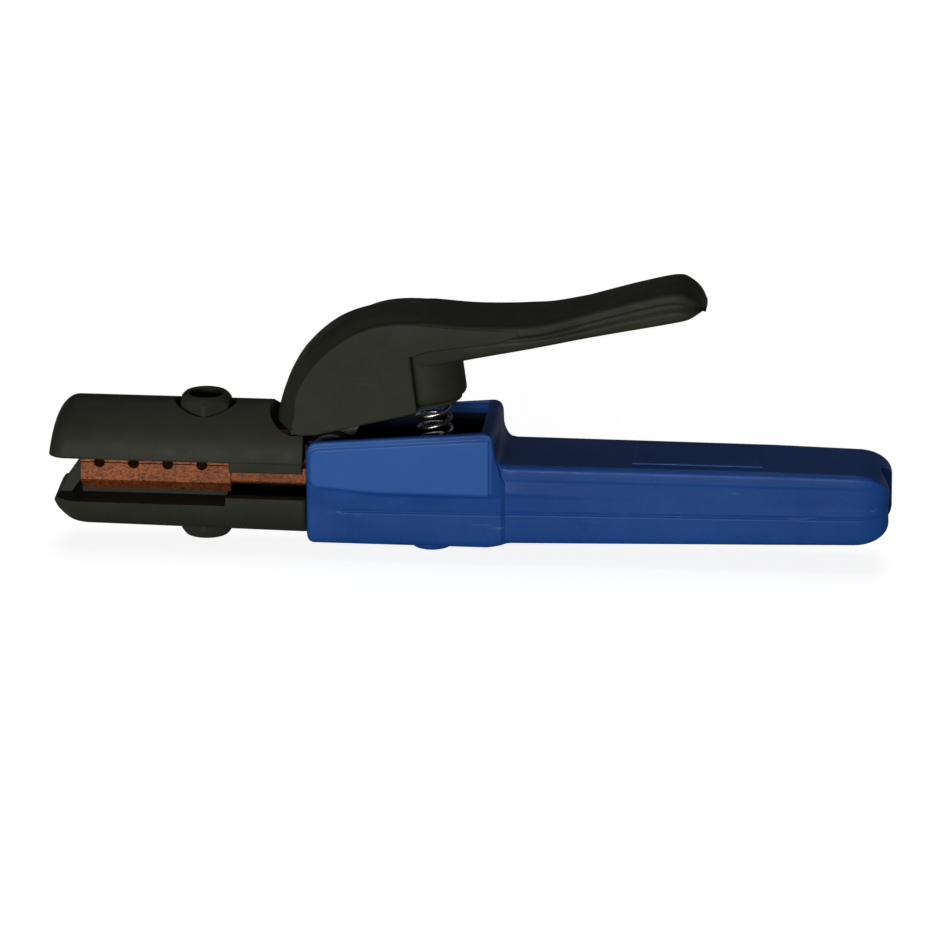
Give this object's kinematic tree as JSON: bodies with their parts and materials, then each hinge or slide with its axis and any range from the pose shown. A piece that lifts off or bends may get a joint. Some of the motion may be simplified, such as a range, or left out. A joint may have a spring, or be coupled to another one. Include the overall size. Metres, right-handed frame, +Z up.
{
  "type": "welding electrode holder",
  "caption": "Lever-operated welding electrode holder: grooved copper jaws in black insulators, sprung thumb lever, hollow blue grip with a screw cable socket.",
  "frame": {"origin": "on the centre line of the front electrode groove, midway across the jaws, in the plane where the closed jaws meet", "axes": "+X back along the grip towards the cable end, +Y across the holder along the electrode grooves, +Z up towards the lever"},
  "size_m": [0.2401, 0.0334, 0.0813],
  "materials": {
    "blue_moulding": "satin moulded plastic",
    "black_moulding": "semi-matt moulded plastic",
    "copper_alloy": "rough sand-cast copper alloy",
    "socket_brass": "turned",
    "ferrule_copper": "drawn copper",
    "bush_bronze": "turned",
    "steel": "bright zinc",
    "dark_steel": "black oxide",
    "spring_steel": "drawn wire",
    "fibre": "pressed fibre"
  },
  "bodies": {
    "body": {"handle_grip": "blue_moulding", "body_casting": "copper_alloy", "cable_socket": "socket_brass", "cable_ferrule": "ferrule_copper", "cable_screws": "dark_steel", "lower_jaw_insulator": "black_moulding", "lower_jaw_screw": "steel", "lower_screw_head": "black_moulding", "lower_screw_washer": "fibre", "pivot_pin": "steel", "thrust_washers": "steel", "pivot_rings": "dark_steel", "lever_spring": "spring_steel", "spring_cup": "fibre", "handle_screw": "steel", "handle_screw_cap": "blue_moulding", "handle_screw_washer": "steel"},
    "lever": {"upper_arm": "copper_alloy", "lever_cover": "black_moulding", "upper_jaw_insulator": "black_moulding", "upper_jaw_screw": "steel", "upper_screw_head": "black_moulding", "upper_screw_washer": "fibre", "pivot_bush": "bush_bronze", "cover_screw": "steel", "cover_washer": "steel"}
  },
  "joints": [
    {"name": "lever_pivot", "type": "hinge", "parent": "body", "child": "lever", "pos_m": [0.0668, 0, 0.0042], "axis": [0, 1, 0], "range_deg": [0, 16], "stiffness_Nm_per_rad": 9.9, "springref_deg": -15.47, "deforming": ["lever_spring"]}
  ]
}
